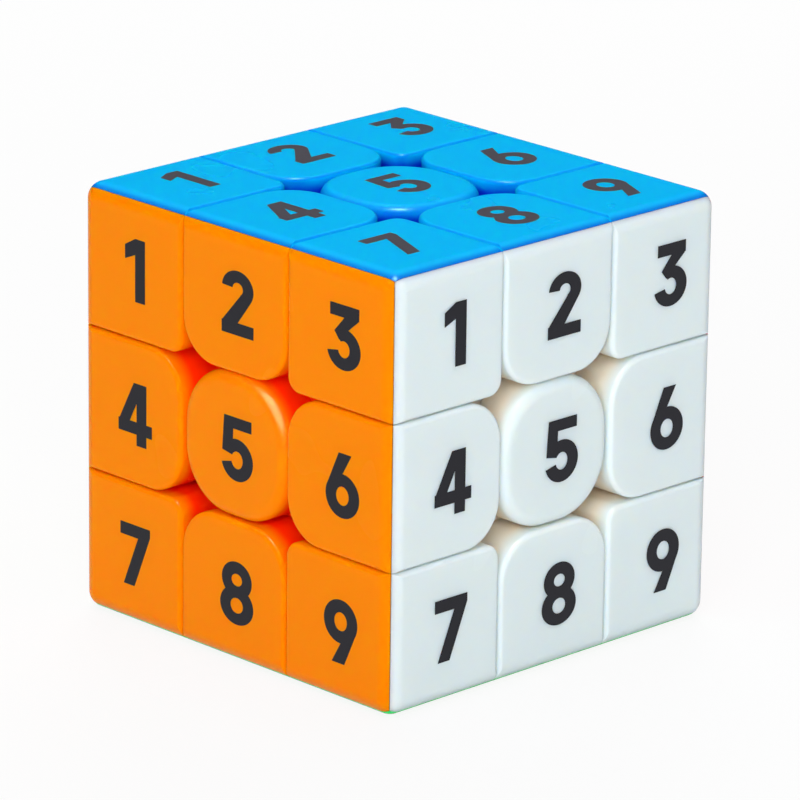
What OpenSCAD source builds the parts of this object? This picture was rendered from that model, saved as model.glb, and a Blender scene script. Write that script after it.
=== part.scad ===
// Three-layer twisting number cube: core, sprung centres, hooked edges and corners.
// Millimetres. The origin is the centre of the core, +Z is up and -Y is the front face.

/* [Cube] */
// Width of the whole cube
cube_size = 56; // [54:0.5:60]
// Width of the middle layer, between the two turning planes of one axis
middle_w = 18.8; // [18:0.1:20]
// Gap between neighbouring cubies
seam = 0.2; // [0.15:0.05:0.4]
// Gap along the mitre between two coloured shells of one cubie
mitre_gap = 0.08; // [0.04:0.02:0.16]

/* [Tiles] */
// Wall of the coloured shells
wall = 1.4; // [1.2:0.1:2]
// Rounding of the rim of the corner and edge tiles
rim_r = 0.6; // [0.4:0.1:1.2]
// Rounding of the rim of the centre tiles
centre_rim_r = 1.5; // [0.8:0.1:1.8]
// Rounding of the outer edges and corners of the cube
edge_r = 2.2; // [1.4:0.1:2.6]
// Plan radius of the inner corner of a corner tile
corner_tile_r = 2; // [1.8:0.1:4]
// Plan radius of the two inner corners of an edge tile
edge_tile_r = 5.7; // [4:0.1:7]
// Plan radius of the four corners of a centre tile
centre_tile_r = 7.9; // [6:0.1:8.8]

/* [Mechanism] */
// Radius of the sphere that the corner feet run under
corner_track_r = 20; // [19.5:0.1:20.5]
// Radius of the sphere that the edge feet run under
edge_track_r = 15; // [14.5:0.1:15.5]
// Radius of the sphere that the edge feet run over
core_track_r = 9.5; // [9:0.1:10]
// Distance of the corner feet from the middle planes
corner_foot_cut = 6.2; // [6:0.1:6.6]
// Distance of the edge feet from the middle planes
edge_foot_cut = 4; // [3.8:0.1:4.3]
// Running gap between the tracks and the feet
run_gap = 0.4; // [0.3:0.05:0.5]
// Thickness of the collar that the shells sit on
collar_t = 2.1; // [1.6:0.1:2.4]
// Diameter of the pegs under the shells
peg_d = 2.6; // [2:0.1:3]
// Depth of the sockets that take the pegs
socket_depth = 2.6; // [2:0.1:3]
// Distance from the inside of a shell down to the post that takes its peg
peg_free = 4.4; // [3.5:0.1:5]
// Radial clearance between a peg and its socket, and of other seats
seat_gap = 0.05; // [0.03:0.01:0.1]
// Clearance between the inside of a shell and the block in it
block_gap = 0.3; // [0.2:0.05:0.5]
// Wall of the posts round the sockets
post_wall = 1.3; // [1:0.1:1.4]

/* [Centres] */
// Diameter of the screw shank
screw_d = 3; // [2.6:0.1:3.2]
// Diameter of the screw head
screw_head_d = 5.4; // [5:0.1:5.6]
// Height of the screw head
screw_head_h = 1.6; // [1.2:0.1:2]
// Width of the cross recess in the screw head
recess_w = 0.7; // [0.5:0.1:0.9]
// Length of the cross recess in the screw head
recess_l = 3.2; // [2.6:0.1:3.8]
// Depth of the cross recess in the screw head
recess_depth = 0.8; // [0.6:0.1:1]
// Radial clearance of the turning centre on its screw
shank_clearance = 0.05; // [0.03:0.01:0.08]
// Distance from the middle of the cube to the tip of a screw
screw_tip = 4; // [3.5:0.1:5]
// Radius of the ball in the middle of the core
core_ball_r = 6.5; // [5.5:0.1:7.5]
// Distance from the middle of the cube to the end of an arm of the core
arm_end = 8.6; // [8.2:0.1:9]
// Gap between the end of an arm and the stem of a centre
stem_gap = 0.3; // [0.2:0.05:0.4]
// Outside diameter of the spring
spring_d = 5.6; // [5:0.1:5.8]
// Wire diameter of the spring
spring_wire = 0.6; // [0.5:0.05:0.65]
// Turns of the spring
spring_turns = 4; // [3:0.5:4]
// Thickness of the washer
washer_t = 0.5; // [0.3:0.1:0.7]
// Radial room round the spring in its well
well_gap = 0.4; // [0.2:0.05:0.6]
// Thickness of the floor under the spring
well_floor_t = 1.3; // [1:0.1:1.6]
// Room between the screw head and the top of its well
well_margin = 0.6; // [0.3:0.1:0.8]
// Room between the top of the well and the cap
cap_room = 0.8; // [0.4:0.1:1.2]
// Thickness of the flange that carries the cap
flange_t = 1.8; // [1.4:0.1:2.2]
// Thickness of the ring under the cap that grips the well
ring_t = 0.9; // [0.7:0.1:1.1]

/* [Hidden] */
// The faces, and the places of the shells round a side face as seen from outside
side_faces = ["front", "right", "back", "left"];
all_faces = concat(side_faces, ["top", "bottom"]);
shell_places = ["top_left", "top", "top_right", "left", "right", "bottom_left", "bottom", "bottom_right"];
$fn = 48;

// Half of the cube, and the faces of the outer and middle cubies beside one seam
half = cube_size / 2;
cut = middle_w / 2;
outer_face = cut + seam / 2;
middle_face = cut - seam / 2;
// Length that safely runs past the cube
past = cube_size;

// Faces of the running parts, half a running gap to each side of its track
slack = run_gap / 2;
corner_foot_in = corner_foot_cut + slack;
corner_foot_room = corner_foot_cut - slack;
edge_foot_in = edge_foot_cut + slack;
edge_foot_room = edge_foot_cut - slack;
collar_in_r = corner_track_r + slack;
collar_out_r = collar_in_r + collar_t;
shell_in_r = collar_out_r + seat_gap;

// Inside of the shells, and the block and posts in each outer cubie that take the pegs
shell_inside = outer_face + wall;
shell_ceiling = half - wall;
block_in = shell_inside + block_gap;
block_out = shell_ceiling - peg_free;
// Leg of a 45 degree corner that keeps the wall behind a rounded tile corner
function inside_leg(tile_r) = max(0, tile_r - wall) * (2 - sqrt(2));
edge_block_half = middle_face - wall - inside_leg(edge_tile_r);
peg_place = (block_in + block_out - socket_depth) / 2;
peg_spread = edge_block_half / 2;
post_r = peg_d / 2 + seat_gap + post_wall;
block_top = peg_place + post_r;
neck_w = corner_track_r / sqrt(2) - corner_foot_in;

// Stem, well and flange of a centre, measured outwards from the middle of the cube
stem_r = edge_foot_room;
tube_r = corner_foot_room;
stem_start = arm_end + stem_gap;
tube_start = edge_track_r + slack;
spring_seat = tube_start + well_floor_t;
flange_top = collar_in_r + flange_t;
bore_r = screw_d / 2 + shank_clearance;
well_r = spring_d / 2 + well_gap;
ring_in_r = tube_r + seat_gap;
cap_inside_r = middle_face - wall;

// Stack on each screw, measured inwards from the cap, with the spring in the room that is left
tube_top = shell_ceiling - cap_room;
head_top = tube_top - well_margin;
head_seat = head_top - screw_head_h;
washer_seat = head_seat - washer_t;
spring_len = washer_seat - spring_seat;

// Helix of the spring: sides of the wire, rings in one turn, and its middle line
wire_sides = 6;
turn_rings = 8;
coil_r = (spring_d - spring_wire) / 2;
coil_start = spring_seat + spring_wire / 2 + seat_gap;
coil_rise = spring_len - spring_wire - 2 * seat_gap;
ring_count = spring_turns * turn_rings;
coil_points = [for (i = [0 : ring_count])
    [coil_r * cos(360 * i / turn_rings), coil_r * sin(360 * i / turn_rings),
     coil_start + coil_rise * i / ring_count]];
coil_gap = min([for (i = [0 : ring_count]) for (j = [i + turn_rings / 2 : 1 : ring_count])
    norm(coil_points[i] - coil_points[j])]) - spring_wire;
echo("least gap between the turns of a spring", coil_gap);

// Colours of the six faces and of the hidden parts
blue = [0.0, 0.62, 0.92];
green = [0.0, 0.66, 0.3];
orange = [1.0, 0.5, 0.0];
white = [0.9, 0.92, 0.91];
red = [0.83, 0.06, 0.08];
yellow = [1.0, 0.84, 0.0];
natural = [0.88, 0.81, 0.71];
steel = [0.7, 0.71, 0.73];

// Turns a piece made on the top face to another face, right side and top side as seen from outside
module on_face(face) {
    turn = face == "front" ? [90, 0, 0]
        : face == "right" ? [90, 0, 90]
        : face == "back" ? [90, 0, 180]
        : face == "left" ? [90, 0, 270]
        : face == "bottom" ? [180, 0, 0]
        : [0, 0, 0];
    rotate(turn) children();
}

function face_colour(face) =
    face == "front" ? orange
    : face == "right" ? white
    : face == "back" ? red
    : face == "left" ? yellow
    : face == "bottom" ? green
    : blue;

// The same piece at all four places round the vertical axis
module four_round() {
    for (quarter = [0 : 3]) rotate([0, 0, 90 * quarter]) children();
}

// The same piece on all six faces
module six_faces() {
    for (face = all_faces) on_face(face) children();
}

// A box given by its lowest and highest corners
module box(low, high) {
    translate(low) cube(high - low);
}

// Quarter of a disc in the first quadrant
module quarter_disc(r) {
    intersection() {
        circle(r);
        square(2 * r);
    }
}

// Section of a tile from an inner line at u = 0 to its rounded rim at u = reach
module rim_section(reach, low, rim) {
    translate([0, low]) square([reach, half - rim - low]);
    translate([0, half - rim]) square([reach - rim, rim]);
    translate([reach - rim, half - rim]) quarter_disc(rim);
}

// Corner of a tile, turned round its own upright axis, filling the first quadrant
module tile_corner(r, low, rim) {
    rotate_extrude(angle = 90) rim_section(r, low, rim);
}

// Side of a tile, running along +Y from the origin with its rim on the +X side
module tile_side(r, low, rim, length) {
    translate([0, length, 0]) rotate([90, 0, 0]) linear_extrude(length) rim_section(r, low, rim);
}

// Tile of a corner cubie: one rounded corner at the low end of X and Y
module corner_tile(r, low) {
    middle = outer_face + r;
    run = past - middle;
    translate([middle, middle, 0]) {
        rotate(180) tile_corner(r, low, rim_r);
        mirror([1, 0, 0]) tile_side(r, low, rim_r, run);
        rotate(270) tile_side(r, low, rim_r, run);
        translate([0, 0, low]) cube([run, run, half - low]);
    }
}

// Tile of an edge cubie: two rounded corners at the low end of X
module edge_tile(r, low) {
    middle = outer_face + r;
    run = past - middle;
    side = middle_face - r;
    translate([middle, 0, 0]) {
        translate([0, -side, 0]) rotate(180) tile_corner(r, low, rim_r);
        translate([0, side, 0]) rotate(90) tile_corner(r, low, rim_r);
        translate([0, -side, 0]) mirror([1, 0, 0]) tile_side(r, low, rim_r, 2 * side);
        translate([0, -side, 0]) rotate(270) tile_side(r, low, rim_r, run);
        mirror([0, 1, 0]) translate([0, -side, 0]) rotate(270) tile_side(r, low, rim_r, run);
        translate([0, -side, low]) cube([run, 2 * side, half - low]);
    }
}

// Tile of a centre: four rounded corners
module centre_tile(r, low) {
    side = middle_face - r;
    four_round() {
        translate([side, side, 0]) tile_corner(r, low, centre_rim_r);
        translate([side, -side, 0]) tile_side(r, low, centre_rim_r, 2 * side);
    }
    translate([-side, -side, low]) cube([2 * side, 2 * side, half - low]);
}

// Wedge above the mitre plane of the outer edge at +X
module mitre_wedge() {
    translate([0, past, 0]) rotate([90, 0, 0]) linear_extrude(2 * past)
        polygon([[0, mitre_gap / 2], [past, past + mitre_gap / 2], [0, past + mitre_gap / 2]]);
}

// Section of a block from the start of its rounded outer edge
module edge_section() {
    square([edge_r, half - edge_r]);
    translate([0, half - edge_r]) quarter_disc(edge_r);
}

// Side of a block, running along Y between two places with its rounded outer edge at +X
module block_side(from, to) {
    translate([half - edge_r, to, 0]) rotate([90, 0, 0]) linear_extrude(to - from) edge_section();
}

// Block under one face with the outer edge at +X rounded
module edge_block() {
    box([0, -cut, 0], [half - edge_r, cut, half]);
    block_side(-cut, cut);
}

// Block under one face with the outer edges at +X and +Y and the corner between them rounded
module corner_block() {
    round_at = half - edge_r;
    box([0, 0, 0], [round_at, round_at, half]);
    block_side(0, round_at);
    mirror([1, -1, 0]) block_side(0, round_at);
    translate([round_at, round_at, 0]) rotate_extrude(angle = 90) edge_section();
}

// Top shell of the corner cubie at +X +Y, with its peg
module corner_shell() {
    leg = inside_leg(corner_tile_r);
    difference() {
        intersection() {
            corner_tile(corner_tile_r, cut);
            corner_block();
            mitre_wedge();
            mirror([1, -1, 0]) mitre_wedge();
        }
        sphere(shell_in_r);
        linear_extrude(shell_ceiling) polygon([
            [shell_inside + leg, shell_inside], [half, shell_inside],
            [half, half], [shell_inside, half], [shell_inside, shell_inside + leg]]);
    }
    translate([peg_place, peg_place, 0]) shell_peg();
}

// Top shell of the edge cubie at +X, with its two pegs
module edge_shell() {
    leg = inside_leg(edge_tile_r);
    inside_w = middle_face - wall;
    difference() {
        intersection() {
            edge_tile(edge_tile_r, cut);
            edge_block();
            mitre_wedge();
        }
        rotate(180) sphere(shell_in_r);
        linear_extrude(shell_ceiling) polygon([
            [shell_inside, leg - inside_w], [shell_inside + leg, -inside_w], [half, -inside_w],
            [half, inside_w], [shell_inside + leg, inside_w], [shell_inside, inside_w - leg]]);
    }
    for (side = [-1, 1]) translate([peg_place, side * peg_spread, 0]) shell_peg();
}

// Peg under a shell, from inside its wall down into the socket
module shell_peg() {
    bottom = block_out - socket_depth + seat_gap;
    translate([0, 0, bottom]) cylinder(d = peg_d, h = shell_ceiling + wall / 2 - bottom);
}

// Post on the block that takes one peg
module peg_post() {
    translate([0, 0, block_in]) cylinder(r = post_r, h = block_out - block_in);
}

// Socket for a peg in the end of a post
module peg_socket() {
    translate([0, 0, block_out - socket_depth]) cylinder(r = peg_d / 2 + seat_gap, h = past);
}

// Foot of the corner cubie at +X +Y +Z: hook under the edges, collar, block and three posts
module corner_foot() {
    difference() {
        union() {
            difference() {
                intersection() {
                    translate(corner_foot_in * [1, 1, 1]) cube(past);
                    sphere(corner_track_r - slack);
                }
                sphere(edge_track_r + slack);
            }
            intersection() {
                translate(outer_face * [1, 1, 1]) cube(past);
                sphere(collar_out_r);
            }
            box(block_in * [1, 1, 1], block_top * [1, 1, 1]);
            three_ways() translate([peg_place, peg_place, 0]) peg_post();
        }
        three_ways() translate([peg_place, peg_place, 0]) peg_socket();
    }
}

// The same piece along each of the three edges of a corner cubie
module three_ways() {
    children();
    rotate([90, 0, 90]) children();
    rotate([90, 0, 90]) rotate([90, 0, 90]) children();
}

// The same piece at the four pegs of an edge cubie
module four_pegs() {
    for (side = [-1, 1]) {
        translate([peg_place, side * peg_spread, 0]) children();
        mirror([1, 0, -1]) translate([peg_place, side * peg_spread, 0]) children();
    }
}

// Foot of the edge cubie at +X +Z: hook under the centres, hook for the corners, collar, block and posts
module edge_foot() {
    difference() {
        union() {
            difference() {
                union() {
                    intersection() {
                        box([edge_foot_in, -edge_foot_room, edge_foot_in], [past, edge_foot_room, past]);
                        rotate(180) sphere(edge_track_r - slack);
                    }
                    box([corner_foot_in, -edge_foot_room, corner_foot_in],
                        [corner_foot_in + neck_w, edge_foot_room, corner_foot_in + neck_w]);
                }
                rotate(180) sphere(core_track_r + slack);
            }
            difference() {
                intersection() {
                    box([corner_foot_in, -corner_foot_room, corner_foot_in], [past, corner_foot_room, past]);
                    rotate(180) sphere(corner_track_r - slack);
                }
                rotate(180) sphere(edge_track_r + slack);
            }
            difference() {
                intersection() {
                    box([outer_face, -middle_face, outer_face], [past, middle_face, past]);
                    rotate(180) sphere(collar_out_r);
                }
                rotate(180) sphere(collar_in_r);
            }
            box([block_in, -edge_block_half, block_in], [block_top, edge_block_half, block_top]);
            four_pegs() peg_post();
        }
        four_pegs() peg_socket();
    }
}

// Base of a centre: bored stem, spring well and flange with a spherical back
module centre_base(face) {
    color(face_colour(face)) on_face(face) intersection() {
        rotate_extrude() difference() {
            union() {
                translate([bore_r, stem_start]) square([stem_r - bore_r, spring_seat - stem_start]);
                translate([bore_r, tube_start]) square([tube_r - bore_r, tube_top - tube_start]);
                difference() {
                    translate([bore_r, tube_start]) square([past, flange_top - tube_start]);
                    circle(collar_in_r);
                }
            }
            translate([0, spring_seat]) square([well_r, past]);
        }
        box([-middle_face, -middle_face, 0], [middle_face, middle_face, past]);
    }
}

// Cap of a centre: rounded tile with a ring that grips the spring well
module centre_cap(face) {
    color(face_colour(face)) on_face(face) {
        difference() {
            centre_tile(centre_tile_r, flange_top + seat_gap);
            cylinder(r = cap_inside_r, h = shell_ceiling);
        }
        rotate_extrude() translate([ring_in_r, flange_top + block_gap])
            square([ring_t, shell_ceiling + wall / 2 - flange_top - block_gap]);
    }
}

// Spider in the middle, with a tapped hole in the end of each arm
module core() {
    color(natural) difference() {
        union() {
            sphere(core_ball_r);
            six_faces() cylinder(r = stem_r, h = arm_end);
        }
        six_faces() translate([0, 0, screw_tip - block_gap]) cylinder(r = screw_d / 2 + seat_gap, h = past);
    }
}

// One screw for each arm, with a cross recess in its head
module centre_screws() {
    color(steel) six_faces() difference() {
        union() {
            translate([0, 0, screw_tip]) cylinder(d = screw_d, h = head_seat - screw_tip);
            translate([0, 0, head_seat]) cylinder(d = screw_head_d, h = screw_head_h);
        }
        for (turn = [0, 90]) rotate(turn)
            box([-recess_l / 2, -recess_w / 2, head_top - recess_depth], [recess_l / 2, recess_w / 2, past]);
    }
}

// One washer under each screw head
module spring_washers() {
    color(steel) six_faces() translate([0, 0, washer_seat]) difference() {
        cylinder(d = spring_d, h = washer_t);
        translate([0, 0, -washer_t]) cylinder(r = bore_r, h = 3 * washer_t);
    }
}

// One coil spring in each well, as a tube swept along its helix
module tension_springs() {
    color(steel) six_faces() polyhedron(
        points = [for (i = [0 : ring_count]) for (k = [0 : wire_sides - 1])
            let (turn = 360 * i / turn_rings, side = 360 * k / wire_sides,
                 reach = coil_r + spring_wire / 2 * cos(side))
            [reach * cos(turn), reach * sin(turn), coil_points[i][2] + spring_wire / 2 * sin(side)]],
        faces = concat(
            [for (i = [0 : ring_count - 1]) for (k = [0 : wire_sides - 1]) for (half_quad = [0, 1])
                let (a = i * wire_sides + k, b = i * wire_sides + (k + 1) % wire_sides)
                half_quad == 0 ? [a, b, a + wire_sides] : [b, b + wire_sides, a + wire_sides]],
            [for (k = [1 : wire_sides - 2]) [0, k + 1, k]],
            [for (k = [1 : wire_sides - 2]) ring_count * wire_sides * [1, 1, 1] + [0, k, k + 1]]));
}

// Shell of one side face, at the place seen from outside
module side_shell(face, place) {
    corner_quarter = place == "top_right" ? 0
        : place == "top_left" ? 1
        : place == "bottom_left" ? 2
        : place == "bottom_right" ? 3
        : -1;
    edge_quarter = place == "right" ? 0
        : place == "top" ? 1
        : place == "left" ? 2
        : 3;
    color(face_colour(face)) on_face(face) {
        if (corner_quarter >= 0) rotate(90 * corner_quarter) corner_shell();
        else rotate(90 * edge_quarter) edge_shell();
    }
}

// The four edge shells of the top or bottom face
module edge_shells(face) {
    color(face_colour(face)) on_face(face) four_round() edge_shell();
}

// The four corner shells of the top or bottom face
module corner_shells(face) {
    color(face_colour(face)) on_face(face) four_round() corner_shell();
}

// The four edge feet of the top or bottom layer
module edge_feet(face) {
    color(natural) on_face(face) four_round() edge_foot();
}

// The four corner feet of the top or bottom layer
module corner_feet(face) {
    color(natural) on_face(face) four_round() corner_foot();
}

// The four edge feet of the middle layer
module middle_edge_feet() {
    color(natural) four_round() rotate([90, 0, 0]) edge_foot();
}

core();
centre_screws();
tension_springs();
spring_washers();
for (face = all_faces) {
    centre_base(face);
    centre_cap(face);
}
for (face = ["top", "bottom"]) {
    edge_feet(face);
    corner_feet(face);
    edge_shells(face);
    corner_shells(face);
}
middle_edge_feet();
for (face = side_faces)
    for (place = shell_places)
        side_shell(face, place);
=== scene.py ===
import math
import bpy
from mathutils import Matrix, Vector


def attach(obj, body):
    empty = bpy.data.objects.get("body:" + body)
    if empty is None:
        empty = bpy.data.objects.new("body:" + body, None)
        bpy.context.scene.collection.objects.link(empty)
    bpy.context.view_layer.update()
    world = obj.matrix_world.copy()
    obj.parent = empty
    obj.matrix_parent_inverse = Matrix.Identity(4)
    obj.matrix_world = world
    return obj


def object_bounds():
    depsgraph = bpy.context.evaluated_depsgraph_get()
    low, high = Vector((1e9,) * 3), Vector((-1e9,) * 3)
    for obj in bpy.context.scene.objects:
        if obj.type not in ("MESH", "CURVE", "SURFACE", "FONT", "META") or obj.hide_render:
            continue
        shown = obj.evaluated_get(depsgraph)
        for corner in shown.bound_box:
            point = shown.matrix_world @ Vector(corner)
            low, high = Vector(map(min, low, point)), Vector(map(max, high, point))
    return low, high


bl_info = {
    "name": "Number cube",
    "version": (1, 0, 0),
    "blender": (4, 5, 0),
    "location": "View3D > Sidebar > Number cube",
    "description": "Dresses a three-layer twisting cube in coloured plastic and prints its digits",
    "category": "Object",
}

import bpy
from bpy.props import FloatProperty, FloatVectorProperty, PointerProperty
from mathutils import Matrix, Vector
from mathutils.geometry import delaunay_2d_cdt

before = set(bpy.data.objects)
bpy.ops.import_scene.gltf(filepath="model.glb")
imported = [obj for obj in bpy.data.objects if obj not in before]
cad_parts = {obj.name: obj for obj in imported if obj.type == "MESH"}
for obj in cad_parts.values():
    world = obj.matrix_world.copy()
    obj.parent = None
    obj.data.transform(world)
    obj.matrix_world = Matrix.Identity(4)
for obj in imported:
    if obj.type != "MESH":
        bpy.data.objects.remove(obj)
cad_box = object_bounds()

MM = 0.001

# Half the width of the cube, whose middle is the origin
HALF = cad_box[1].z

# Each face: its colour, the way out of it, and right and up of its print as seen from outside
FACES = {
    "front": ("orange", (0, -1, 0), (1, 0, 0), (0, 0, 1)),
    "right": ("white", (1, 0, 0), (0, 1, 0), (0, 0, 1)),
    "back": ("red", (0, 1, 0), (-1, 0, 0), (0, 0, 1)),
    "left": ("yellow", (-1, 0, 0), (0, -1, 0), (0, 0, 1)),
    "top": ("blue", (0, 0, 1), (0, 1, 0), (-1, 0, 0)),
    "bottom": ("green", (0, 0, -1), (0, 1, 0), (1, 0, 0)),
}
LAYERS = ("top_layer", "middle_layer", "bottom_layer")

# How far red, green and blue light spread in each plastic, against the reach of the farthest
GLOW = {
    "orange": (1.0, 0.25, 0.02),
    "white": (1.0, 0.8, 0.6),
    "red": (1.0, 0.05, 0.03),
    "yellow": (1.0, 0.7, 0.05),
    "blue": (0.05, 0.35, 1.0),
    "green": (0.05, 1.0, 0.2),
}

# Reach of the farthest of these in each plastic, in millimetres
SPREAD = {"orange": 1.0, "white": 2.5, "red": 1.0, "yellow": 1.0, "blue": 1.0, "green": 1.0}

# Tint of the reflections on each plastic where it is seen head-on
SHEEN = {
    "orange": (1.0, 0.6, 0.3, 1),
    "white": (1.0, 1.0, 1.0, 1),
    "red": (1.0, 0.3, 0.3, 1),
    "yellow": (1.0, 0.85, 0.3, 1),
    "blue": (0.3, 0.7, 1.0, 1),
    "green": (0.3, 1.0, 0.4, 1),
}

# Distance below a face at which the shade painted on the walls of the pockets is full, for each plastic, in
# millimetres
REACH = {"orange": 3.0, "white": 3.0, "red": 2.5, "yellow": 2.5, "blue": 2.0, "green": 2.5}

# Share of that distance at which the painted shade of the pockets starts
PAINTED_SHADE_START = 0.13

# Light and shade painted on rounded edges: largest part of the normal where this painted tone starts, and
# where it is full
EDGE_TURN = (0.97, 0.74)

# Distance from the cube's edges at which that painted light and shade starts to grow, and where it is whole
EDGE_REACH = (2.2 * MM, 1 * MM)

# Share of that painted light and shade on the rims of the tiles farther in
RIM_SHARE = 0.5

# Scale and detail of the slow drift of the tones, of the smears in the gloss and of the mould's grain
DRIFT_NOISE = (140, 2)
SMEAR_NOISE = (90, 1)
GRAIN_NOISE = (2600, 2)

# Roughness that the smears add at most, and height of the grain
SMEAR_ROUGHNESS = 0.05
GRAIN_HEIGHT = 0.02 * MM

# Outlines of the digits in millimetres round the middle of each digit.
# A digit is the union of its polygons and rings; a ring is its middle, outer radii, inner radii,
# and the angles in degrees at which its stroke starts and ends. The 9 is the 6 turned half round.
SIX_STEM = [(-0.65, 4.1), (1.55, 4.1), (0.02, 1.48), (-0.9, 0.2), (-2.62, -0.25)]
SIX_RING = ((0.05, -1.3), (2.92, 2.8), (1.1, 1.2), 0, 360)
DIGITS = {
    1: {
        "polygons": [
            [(0.08, -4.05), (1.88, -4.05), (1.88, 4.05), (0.08, 4.05)],
            [(-1.78, 3.02), (-1.78, 1.2), (0.08, 1.98), (0.9, 2.3), (0.9, 4.05), (0.08, 4.05)],
        ],
        "rings": [],
    },
    2: {
        "polygons": [
            [(-2.8, -4.08), (2.88, -4.08), (2.88, -2.5), (-2.8, -2.5)],
            [(0.6, 1.12), (-2.8, -2.65), (-2.8, -3.2), (0.0, -2.6), (0.1, -2.45), (2.36, 0.5),
             (1.6, 1.5)],
        ],
        "rings": [((0.05, 1.8), (2.8, 2.3), (0.93, 0.8), 176, -62)],
    },
    3: {
        "polygons": [
            [(-2.35, 2.5), (2.65, 2.5), (2.65, 4.05), (-2.35, 4.05)],
            [(0.1, 3.0), (0.1, 2.5), (-1.6, 0.6), (-0.75, -0.42), (0.05, -0.3), (0.9, 1.1), (2.45, 2.4),
             (2.65, 2.9), (2.65, 3.0)],
        ],
        "rings": [((0.05, -1.5), (2.9, 2.6), (1.0, 1.05), 122, -168)],
    },
    4: {
        "polygons": [
            [(0.32, -4.05), (2.12, -4.05), (2.12, 4.05), (0.32, 4.05)],
            [(-3.05, -2.6), (3.15, -2.6), (3.15, -1.0), (-3.05, -1.0)],
            [(-0.2, 4.05), (-3.05, -1.4), (-3.05, -1.6), (-0.95, -1.6), (-0.95, -1.0), (0.32, 1.45),
             (0.6, 1.45), (0.6, 4.05)],
        ],
        "rings": [],
    },
    5: {
        "polygons": [
            [(-2.3, 2.55), (2.6, 2.55), (2.6, 4.05), (-2.3, 4.05)],
            [(-2.3, 4.05), (-2.62, -0.5), (-2.45, -0.55), (-0.83, -0.84), (-0.72, 1.2), (-0.6, 4.05)],
        ],
        "rings": [((0.05, -1.4), (2.85, 2.72), (1.02, 1.12), 150, -165)],
    },
    6: {"polygons": [SIX_STEM], "rings": [SIX_RING]},
    7: {
        "polygons": [
            [(-2.72, 4.05), (-2.72, 2.42), (0.58, 2.42), (-2.12, -4.05), (-0.12, -4.05), (2.78, 3.0),
             (2.78, 4.05)],
        ],
        "rings": [],
    },
    8: {
        "polygons": [],
        "rings": [
            ((0.1, -1.6), (3.0, 2.5), (1.12, 1.0), 0, 360),
            ((0.1, 1.75), (2.7, 2.35), (0.95, 0.8), 0, 360),
        ],
    },
    9: {
        "polygons": [[(-x, -y) for x, y in SIX_STEM]],
        "rings": [((-SIX_RING[0][0], -SIX_RING[0][1]), SIX_RING[1], SIX_RING[2], 0, 360)],
    },
}

# Degrees of a ring that one piece of it takes
RING_STEP = 7.5

# How the outlines are cut into triangles: all inside their hull, with points closer than this merged
WHOLE_HULL = 0
MERGE_BELOW = 1e-4

# Half the width of the floor in metres, its room for the ink below the cube, and the share of plain
# white in the floor as it is seen
FLOOR_REACH = 6
FLOOR_GAP = 0.03 * MM
FLOOR_WHITE = 0.88

# Light of the room: height of a direction, from 0 at the horizon to 1 straight up, and its brightness
ROOM_LIGHT = ((0.5, 0.03), (0.8, 0.97))


def colour_property(name, default):
    return FloatVectorProperty(
        name=name, description=name + " in linear values", subtype="COLOR", size=3, min=0, max=1,
        default=default,
    )


class PlasticColours(bpy.types.PropertyGroup):
    """Colours of the mouldings with light and shade painted on their edges and in their pockets, of the
    mechanism and of the print
    """

    # Each plastic has its colour, a tone painted on its rounded edges as light and shade, and a shade
    # painted in its pockets
    orange: colour_property("Orange plastic", (0.855, 0.234, 0.0))
    orange_edge: colour_property("Orange painted rim shading", (0.87, 0.24, 0.0))
    orange_depth: colour_property("Orange painted pocket shade", (0.9, 0.028, 0.0))
    white: colour_property("White plastic", (0.705, 0.797, 0.807))
    white_edge: colour_property("White painted rim shading", (0.71, 0.79, 0.81))
    white_depth: colour_property("White painted pocket shade", (0.82, 0.74, 0.62))
    red: colour_property("Red plastic", (0.66, 0.008, 0.01))
    red_edge: colour_property("Red painted rim shading", (0.75, 0.012, 0.012))
    red_depth: colour_property("Red painted pocket shade", (0.45, 0.002, 0.004))
    yellow: colour_property("Yellow plastic", (0.87, 0.62, 0.0))
    yellow_edge: colour_property("Yellow painted rim shading", (0.92, 0.7, 0.0))
    yellow_depth: colour_property("Yellow painted pocket shade", (0.85, 0.4, 0.0))
    blue: colour_property("Blue plastic", (0.0, 0.41, 0.8))
    blue_edge: colour_property("Blue painted rim shading", (0.0, 0.18, 0.66))
    blue_depth: colour_property("Blue painted pocket shade", (0.0, 0.03, 0.6))
    green: colour_property("Green plastic", (0.0, 0.55, 0.08))
    green_edge: colour_property("Green painted rim shading", (0.0, 0.85, 0.12))
    green_depth: colour_property("Green painted pocket shade", (0.0, 0.3, 0.04))
    # The warm beige of the feet and core is partly their plastic and partly a painted warm shade for the
    # depths of the pockets
    inner: colour_property("Plastic of the feet and the core", (0.74, 0.62, 0.47))
    steel: colour_property("Screw steel", (0.55, 0.56, 0.58))
    ink: colour_property("Ink", (0.009, 0.009, 0.014))
    # The ink of the top is lighter than the other ink, as a painted reflection of glare on its print
    ink_with_painted_glare: colour_property("Ink of the top with painted glare", (0.055, 0.049, 0.063))


class PrintLayout(bpy.types.PropertyGroup):
    """Place of the digits on the faces"""

    pitch: FloatProperty(
        name="Pitch", description="Distance between neighbouring digits", unit="LENGTH",
        default=18.66 * MM,
    )
    proud: FloatProperty(
        name="Film", description="Height of the ink above the plastic", unit="LENGTH", default=0.02 * MM
    )
    depth: FloatProperty(
        name="Key", description="Depth of the ink in the plastic", unit="LENGTH", default=0.03 * MM
    )
    front_shift: FloatVectorProperty(
        name="Front shift", description="Shift of the print on the front", unit="LENGTH", size=2,
        default=(0.75 * MM, -0.1 * MM),
    )
    right_shift: FloatVectorProperty(
        name="Right shift", description="Shift of the print on the right side", unit="LENGTH", size=2,
        default=(0.85 * MM, 0.15 * MM),
    )
    top_shift: FloatVectorProperty(
        name="Top shift", description="Shift of the print on the top", unit="LENGTH", size=2,
        default=(0.5 * MM, 0.4 * MM),
    )


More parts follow.
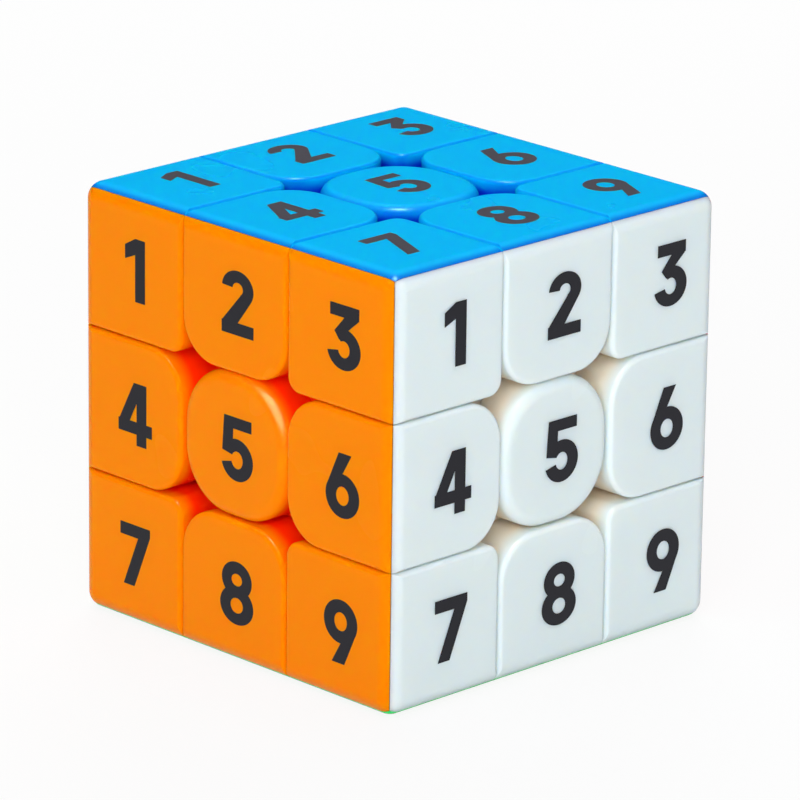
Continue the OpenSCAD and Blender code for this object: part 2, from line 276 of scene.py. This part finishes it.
class StageSetup(bpy.types.PropertyGroup):
    """Camera of the main view"""

    azimuth: FloatProperty(
        name="Azimuth", description="Turn of the camera to the right of the front", subtype="ANGLE",
        default=math.radians(45.658),
    )
    elevation: FloatProperty(
        name="Elevation", description="Height of the camera as an angle", subtype="ANGLE",
        default=math.radians(17.951),
    )
    roll: FloatProperty(
        name="Roll", description="Turn of the camera about its own axis", subtype="ANGLE",
        default=math.radians(0.721),
    )
    distance: FloatProperty(
        name="Distance", description="From the camera to the middle of the cube", unit="LENGTH",
        default=0.77,
    )
    lens: FloatProperty(
        name="Lens", description="Focal length in millimetres", unit="CAMERA", default=276.56
    )
    shift: FloatProperty(
        name="Shift", description="Sideways shift of the picture as a share of its width", precision=5,
        default=0.00367,
    )


def new_socket(group, name, way, kind, default=None):
    socket = group.interface.new_socket(name=name, in_out=way, socket_type=kind)
    if default is not None:
        socket.default_value = default


def worked_out(nodes, link, operation, *values):
    """Result of a math node on sockets and plain numbers"""
    node = nodes.new("ShaderNodeMath")
    node.operation = operation
    for entry, value in zip(node.inputs, values):
        if isinstance(value, bpy.types.NodeSocket):
            link(value, entry)
        else:
            entry.default_value = value
    return node.outputs[0]


def plain_parts(nodes, link, vector):
    """The three parts of a vector without their signs"""
    size = nodes.new("ShaderNodeVectorMath")
    size.operation = "ABSOLUTE"
    link(vector, size.inputs[0])
    parts = nodes.new("ShaderNodeSeparateXYZ")
    link(size.outputs["Vector"], parts.inputs["Vector"])
    return [parts.outputs[axis] for axis in "XYZ"]


def largest(nodes, link, x, y, z):
    """Largest of three values"""
    larger = worked_out(nodes, link, "MAXIMUM", x, y)
    return worked_out(nodes, link, "MAXIMUM", larger, z)


def second_largest(nodes, link, x, y, z):
    """Second largest of three values"""
    larger = worked_out(nodes, link, "MAXIMUM", x, y)
    smaller = worked_out(nodes, link, "MINIMUM", x, y)
    lower_rest = worked_out(nodes, link, "MINIMUM", larger, z)
    return worked_out(nodes, link, "MAXIMUM", smaller, lower_rest)


def smooth_mask(nodes, link, value, none, full):
    """A mask that grows smoothly from 0 at one value to 1 at another"""
    mask = nodes.new("ShaderNodeMapRange")
    mask.interpolation_type = "SMOOTHSTEP"
    mask.inputs["From Min"].default_value = none
    mask.inputs["From Max"].default_value = full
    link(value, mask.inputs["Value"])
    return mask.outputs["Result"]


def mixed(nodes, link, mask, first, second):
    """Two colours mixed by a mask"""
    mix = nodes.new("ShaderNodeMix")
    mix.data_type = "RGBA"
    link(mask, mix.inputs["Factor"])
    link(first, mix.inputs["A"])
    link(second, mix.inputs["B"])
    return mix.outputs["Result"]


def noise(nodes, link, place, scale, detail):
    """Noise at a place, about half on average"""
    node = nodes.new("ShaderNodeTexNoise")
    node.inputs["Scale"].default_value = scale
    node.inputs["Detail"].default_value = detail
    link(place, node.inputs["Vector"])
    return node.outputs["Fac"]


def painted_shading_and_skin_group():
    """Painted shading of a moulding: light and shade painted on its rounded edges and shade painted in its
    pockets, with the slow drift of its tones and the skin of the mould
    """
    group = bpy.data.node_groups.new("painted shading and mould skin", "ShaderNodeTree")
    for name in ("Face", "Edge", "Depth"):
        new_socket(group, name, "INPUT", "NodeSocketColor", (0.8, 0.8, 0.8, 1))
    for name, default in (("Reach", 3 * MM), ("Drift", 0.03), ("Gloss", 0.35)):
        new_socket(group, name, "INPUT", "NodeSocketFloat", default)
    new_socket(group, "Colour", "OUTPUT", "NodeSocketColor")
    for name in ("Roughness", "Height"):
        new_socket(group, name, "OUTPUT", "NodeSocketFloat")
    nodes = group.nodes
    link = group.links.new
    entry = nodes.new("NodeGroupInput")
    leave = nodes.new("NodeGroupOutput")
    texture = nodes.new("ShaderNodeTexCoord")
    place = texture.outputs["Object"]

    # Light and shade painted on the rounded edges: whole on the cube's edges, a share of it on the tile
    # rims
    facing = largest(nodes, link, *plain_parts(nodes, link, texture.outputs["Normal"]))
    rounded = smooth_mask(nodes, link, facing, *EDGE_TURN)
    parts = plain_parts(nodes, link, place)
    next_reach = second_largest(nodes, link, *parts)
    outer = smooth_mask(nodes, link, next_reach, *(HALF - reach for reach in EDGE_REACH))
    amount = worked_out(nodes, link, "MULTIPLY_ADD", outer, 1 - RIM_SHARE, RIM_SHARE)
    edge = worked_out(nodes, link, "MULTIPLY", rounded, amount)
    # Shade painted on the walls, growing deeper below the face in the pockets between the tiles
    below = worked_out(nodes, link, "SUBTRACT", HALF, largest(nodes, link, *parts))
    share = worked_out(nodes, link, "DIVIDE", below, entry.outputs["Reach"])
    deep = smooth_mask(nodes, link, share, PAINTED_SHADE_START, 1)
    tone = mixed(nodes, link, edge, entry.outputs["Face"], entry.outputs["Edge"])
    tone = mixed(nodes, link, deep, tone, entry.outputs["Depth"])

    level = worked_out(nodes, link, "SUBTRACT", noise(nodes, link, place, *DRIFT_NOISE), 0.5)
    value = worked_out(nodes, link, "MULTIPLY_ADD", level, entry.outputs["Drift"], 1)
    drifted = nodes.new("ShaderNodeHueSaturation")
    link(value, drifted.inputs["Value"])
    link(tone, drifted.inputs["Color"])
    link(drifted.outputs["Color"], leave.inputs["Colour"])

    smear = noise(nodes, link, place, *SMEAR_NOISE)
    rough = worked_out(nodes, link, "MULTIPLY_ADD", smear, SMEAR_ROUGHNESS, entry.outputs["Gloss"])
    link(rough, leave.inputs["Roughness"])
    link(noise(nodes, link, place, *GRAIN_NOISE), leave.inputs["Height"])
    return group


def skinned(name, tones, drift, gloss, specular, grain):
    """A material with the mould's skin and painted shading, from the tone of its faces, the light and shade
    painted on its edges and the shade painted in its pockets
    """
    material = bpy.data.materials.new(name)
    material.use_nodes = True
    nodes = material.node_tree.nodes
    link = material.node_tree.links.new
    shader = nodes["Principled BSDF"]
    shader.inputs["Specular IOR Level"].default_value = specular
    skin = nodes.new("ShaderNodeGroup")
    skin.node_tree = bpy.data.node_groups.get("painted shading and mould skin") or painted_shading_and_skin_group()
    # Face colour, light and shade painted on the edges, and shade painted deep in the pockets
    for socket, tone in zip(("Face", "Edge", "Depth"), tones):
        skin.inputs[socket].default_value = (*tone, 1)
    skin.inputs["Drift"].default_value = drift
    skin.inputs["Gloss"].default_value = gloss
    bump = nodes.new("ShaderNodeBump")
    bump.inputs["Strength"].default_value = grain
    bump.inputs["Distance"].default_value = GRAIN_HEIGHT
    link(skin.outputs["Colour"], shader.inputs["Base Color"])
    link(skin.outputs["Roughness"], shader.inputs["Roughness"])
    link(skin.outputs["Height"], bump.inputs["Height"])
    link(bump.outputs["Normal"], shader.inputs["Normal"])
    material.diffuse_color = (*tones[0], 1)
    return material


def dress(node, material):
    """Gives a node of the frame its material"""
    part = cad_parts[node]
    part.data.materials.clear()
    part.data.materials.append(material)


def ring_quads(middle, outer, inner, start, end):
    """A ring or part of one as a row of four-sided pieces"""
    steps = round(abs(end - start) / RING_STEP)
    rows = []
    for i in range(steps + 1):
        turn = math.radians(start + (end - start) * i / steps)
        across = math.cos(turn)
        rise = math.sin(turn)
        rows.append([(middle[0] + r[0] * across, middle[1] + r[1] * rise) for r in (outer, inner)])
    return [[a[0], a[1], b[1], b[0]] for a, b in zip(rows, rows[1:])]


def digit_triangles(digit):
    """Points and triangles of one digit"""
    shapes = list(DIGITS[digit]["polygons"])
    for ring in DIGITS[digit]["rings"]:
        shapes += ring_quads(*ring)
    points = []
    faces = []
    for shape in shapes:
        area = sum(a[0] * b[1] - a[1] * b[0] for a, b in zip(shape, shape[1:] + shape[:1]))
        if area < 0:
            shape = shape[::-1]
        faces.append(list(range(len(points), len(points) + len(shape))))
        points += [Vector(p) for p in shape]
    cut = delaunay_2d_cdt(points, [], faces, WHOLE_HULL, MERGE_BELOW)
    corners, _, triangles, _, _, sources = cut
    return corners, [triangle for triangle, source in zip(triangles, sources) if source]


def print_row(face, row, material, layout, shift):
    """Prints the three digits of one row of a face as a thin film of ink"""
    way_out, right, up = (Vector(v) for v in FACES[face][1:])
    points = []
    faces = []
    for column in range(3):
        flat, triangles = digit_triangles(3 * row + column + 1)
        across = (column - 1) * layout.pitch + shift[0]
        rise = (1 - row) * layout.pitch + shift[1]
        middle = right * across + up * rise
        start = len(points)
        count = len(flat)
        for height in (HALF + layout.proud, HALF - layout.depth):
            points += [middle + right * (p.x * MM) + up * (p.y * MM) + way_out * height for p in flat]
        # The sides of the triangles in the order in which they come; those met one way only are the outline
        sides = {}
        for a, b, c in triangles:
            if (flat[b] - flat[a]).cross(flat[c] - flat[a]) < 0:
                b, c = c, b
            faces.append([start + i for i in (a, b, c)])
            faces.append([start + count + i for i in (a, c, b)])
            for side in ((a, b), (b, c), (c, a)):
                sides[side] = True
        for a, b in sides:
            if (b, a) not in sides:
                faces.append([start + i for i in (a, count + a, count + b, b)])
    mesh = bpy.data.meshes.new(f"{face}_digits_{row + 1}")
    mesh.from_pydata(points, [], faces)
    mesh.validate()
    mesh.materials.append(material)
    film = bpy.data.objects.new(mesh.name, mesh)
    bpy.context.scene.collection.objects.link(film)
    body = LAYERS[row]
    if face in ("top", "bottom"):
        body = face + "_layer"
    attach(film, body)


class CUBE_OT_colour_faces(bpy.types.Operator):
    """Gives the shells, caps and bases of each face their coloured plastic, with light and shade painted on
    its edges and shade painted in its pockets
    """

    bl_idname = "cube.colour_faces"
    bl_label = "Colour the faces"

    def execute(self, context):
        colours = context.scene.cube_colours
        for face, (colour, *_) in FACES.items():
            # The face colour, its painted light and shade for the edges, and its painted shade for the
            # pockets
            tones = [getattr(colours, colour + part) for part in ("", "_edge", "_depth")]
            material = skinned(
                colour + " plastic", tones, drift=0.02, gloss=0.24, specular=0.08, grain=0.03
            )
            # How far below the face the painted shade of the pockets becomes full
            skin = material.node_tree.nodes["Group"]
            skin.inputs["Reach"].default_value = REACH[colour] * MM
            shader = material.node_tree.nodes["Principled BSDF"]
            shader.inputs["Specular Tint"].default_value = SHEEN[colour]
            shader.inputs["Subsurface Weight"].default_value = 0.85
            shader.inputs["Subsurface Radius"].default_value = GLOW[colour]
            shader.inputs["Subsurface Scale"].default_value = SPREAD[colour] * MM
            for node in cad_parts:
                if node.startswith(face + "_") and not node.endswith("_feet"):
                    dress(node, material)
        return {"FINISHED"}


class CUBE_OT_finish_mechanism(bpy.types.Operator):
    """Gives the core and feet their matt plastic, and the screws, springs and washers their steel"""

    bl_idname = "cube.finish_mechanism"
    bl_label = "Finish the mechanism"

    def execute(self, context):
        colours = context.scene.cube_colours
        # Its warm beige also stands in for the warm shade deep in the pockets
        plastic = skinned(
            "inner plastic", [colours.inner] * 3, drift=0.1, gloss=0.5, specular=0.4, grain=0.3
        )
        steel = skinned(
            "screw steel", [colours.steel] * 3, drift=0.06, gloss=0.22, specular=0.5, grain=0.1
        )
        steel.node_tree.nodes["Principled BSDF"].inputs["Metallic"].default_value = 1
        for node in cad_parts:
            if node == "core" or node.endswith("_feet"):
                dress(node, plastic)
        for node in ("centre_screws", "tension_springs", "spring_washers"):
            dress(node, steel)
        return {"FINISHED"}


class CUBE_OT_print_digits(bpy.types.Operator):
    """Prints the digits 1 to 9 in three rows on every face"""

    bl_idname = "cube.print_digits"
    bl_label = "Print the digits"

    def execute(self, context):
        layout = context.scene.cube_print
        colours = context.scene.cube_colours
        ink = skinned("ink", [colours.ink] * 3, drift=0.1, gloss=0.4, specular=0.2, grain=0.05)
        # Lighter ink for the top, as a painted reflection of glare
        ink_with_painted_glare = skinned(
            "ink with painted glare on the top", [colours.ink_with_painted_glare] * 3, drift=0.1, gloss=0.4, specular=0.3, grain=0.05
        )
        shifts = {"front": layout.front_shift, "right": layout.right_shift, "top": layout.top_shift}
        for face in FACES:
            material = ink_with_painted_glare if face == "top" else ink
            for row in range(3):
                print_row(face, row, material, layout, shifts.get(face, layout.front_shift))
        return {"FINISHED"}


def direction(azimuth, elevation):
    """Way from the cube to a place round it: azimuth from the front to the right, elevation upwards"""
    level = math.cos(elevation)
    return Vector((level * math.sin(azimuth), -level * math.cos(azimuth), math.sin(elevation)))


def softbox(name, azimuth, elevation, distance, size, power):
    """An area lamp that faces the middle of the cube, with its angles in degrees"""
    back = direction(math.radians(azimuth), math.radians(elevation))
    data = bpy.data.lights.new(name, "AREA")
    data.shape = "DISK"
    data.size = size
    data.energy = power
    lamp = bpy.data.objects.new(name, data)
    lamp.location = back * distance
    lamp.rotation_euler = back.to_track_quat("Z", "Y").to_euler()
    bpy.context.scene.collection.objects.link(lamp)
    return lamp


def shine_on(lamp, nodes):
    """Lets a lamp add only shine, and only on some nodes of the frame"""
    lamp.visible_diffuse = False
    receivers = bpy.data.collections.new(lamp.name + " receivers")
    for node in nodes:
        receivers.objects.link(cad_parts[node])
    lamp.light_linking.receiver_collection = receivers


def place_camera(setup):
    """The camera of the main view"""
    back = direction(setup.azimuth, setup.elevation)
    level = Vector((math.cos(setup.azimuth), math.sin(setup.azimuth), 0))
    rise = back.cross(level)
    right = level * math.cos(setup.roll) + rise * math.sin(setup.roll)
    up = rise * math.cos(setup.roll) - level * math.sin(setup.roll)
    data = bpy.data.cameras.new("camera")
    data.lens = setup.lens
    data.sensor_width = 36
    data.shift_x = setup.shift
    data.clip_start = 0.01
    data.clip_end = 20
    camera = bpy.data.objects.new("camera", data)
    turn = Matrix((right, up, back)).transposed().to_4x4()
    camera.matrix_world = Matrix.Translation(back * setup.distance) @ turn
    bpy.context.scene.collection.objects.link(camera)
    bpy.context.scene.camera = camera


def lay_floor():
    """A pale floor that looks white to the camera and keeps a soft shadow"""
    level = -HALF - FLOOR_GAP
    signs = ((-1, -1), (1, -1), (1, 1), (-1, 1))
    mesh = bpy.data.meshes.new("floor")
    mesh.from_pydata([(x * FLOOR_REACH, y * FLOOR_REACH, level) for x, y in signs], [], [(0, 1, 2, 3)])
    floor = bpy.data.objects.new("floor", mesh)
    bpy.context.scene.collection.objects.link(floor)
    material = bpy.data.materials.new("floor")
    material.use_nodes = True
    nodes = material.node_tree.nodes
    link = material.node_tree.links.new
    shader = nodes["Principled BSDF"]
    shader.inputs["Base Color"].default_value = (0.7, 0.7, 0.7, 1)
    shader.inputs["Roughness"].default_value = 0.9
    shader.inputs["Specular IOR Level"].default_value = 0.1
    glow = nodes.new("ShaderNodeEmission")
    glow.inputs["Strength"].default_value = 1
    rays = nodes.new("ShaderNodeLightPath").outputs
    seen = largest(
        nodes, link, rays["Is Camera Ray"], rays["Is Glossy Ray"], rays["Is Transmission Ray"]
    )
    mix = nodes.new("ShaderNodeMixShader")
    link(worked_out(nodes, link, "MULTIPLY", seen, FLOOR_WHITE), mix.inputs["Fac"])
    link(shader.outputs["BSDF"], mix.inputs[1])
    link(glow.outputs["Emission"], mix.inputs[2])
    link(mix.outputs["Shader"], nodes["Material Output"].inputs["Surface"])
    mesh.materials.append(material)


def light_room():
    """Even light from above, broad lamps in front and behind, and lamps for the shine"""
    world = bpy.data.worlds.new("room")
    world.use_nodes = True
    bpy.context.scene.world = world
    nodes = world.node_tree.nodes
    link = world.node_tree.links.new
    sky = nodes["Background"]
    sky.inputs["Strength"].default_value = 1
    place = nodes.new("ShaderNodeTexCoord")
    parts = nodes.new("ShaderNodeSeparateXYZ")
    link(place.outputs["Generated"], parts.inputs["Vector"])
    ramp = nodes.new("ShaderNodeValToRGB")
    for stop, (height, brightness) in zip(ramp.color_ramp.elements, ROOM_LIGHT):
        stop.position = height
        stop.color = (brightness, brightness, brightness, 1)
    link(parts.outputs["Z"], ramp.inputs["Fac"])
    link(ramp.outputs["Color"], sky.inputs["Color"])
    softbox("top light", azimuth=225, elevation=80, distance=0.9, size=0.2, power=0.8)
    for name, azimuth, power in (("front light", 40, 10.8), ("back light", 225, 7.4)):
        broad = softbox(name, azimuth, elevation=24, distance=1.1, size=0.7, power=power)
        broad.visible_glossy = False
    rim = softbox("rim light", azimuth=46, elevation=75, distance=0.9, size=0.25, power=42)
    shine_on(rim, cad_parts)
    glint = softbox("glint light", azimuth=30, elevation=42, distance=0.9, size=1.1, power=240)
    shine_on(glint, ["front_centre_cap"])


class CUBE_OT_set_stage(bpy.types.Operator):
    """Sets the camera, the floor and the light"""

    bl_idname = "cube.set_stage"
    bl_label = "Set the stage"

    def execute(self, context):
        place_camera(context.scene.cube_stage)
        lay_floor()
        light_room()
        context.scene.view_settings.view_transform = "Standard"
        # In the pockets light bounces often before it comes out
        context.scene.cycles.max_bounces = 24
        context.scene.cycles.diffuse_bounces = 16
        return {"FINISHED"}


class CUBE_PT_steps(bpy.types.Panel):
    """Lists the steps and the values that they use"""

    bl_idname = "CUBE_PT_steps"
    bl_label = "Number cube"
    bl_space_type = "VIEW_3D"
    bl_region_type = "UI"
    bl_category = "Number cube"

    def draw(self, context):
        scene = context.scene
        for step in STEPS:
            self.layout.operator(step.bl_idname)
        for group in (scene.cube_colours, scene.cube_print, scene.cube_stage):
            for name in group.bl_rna.properties.keys():
                if name not in ("rna_type", "name"):
                    self.layout.prop(group, name)


GROUPS = (PlasticColours, PrintLayout, StageSetup)
STEPS = (CUBE_OT_colour_faces, CUBE_OT_finish_mechanism, CUBE_OT_print_digits, CUBE_OT_set_stage)


def register():
    for kind in GROUPS + STEPS + (CUBE_PT_steps,):
        bpy.utils.register_class(kind)
    bpy.types.Scene.cube_colours = PointerProperty(type=PlasticColours)
    bpy.types.Scene.cube_print = PointerProperty(type=PrintLayout)
    bpy.types.Scene.cube_stage = PointerProperty(type=StageSetup)


def unregister():
    del bpy.types.Scene.cube_stage
    del bpy.types.Scene.cube_print
    del bpy.types.Scene.cube_colours
    for kind in reversed(GROUPS + STEPS + (CUBE_PT_steps,)):
        bpy.utils.unregister_class(kind)


def main():
    register()
    bpy.ops.cube.colour_faces()
    bpy.ops.cube.finish_mechanism()
    bpy.ops.cube.print_digits()
    bpy.ops.cube.set_stage()


if __name__ == "__main__":
    main()
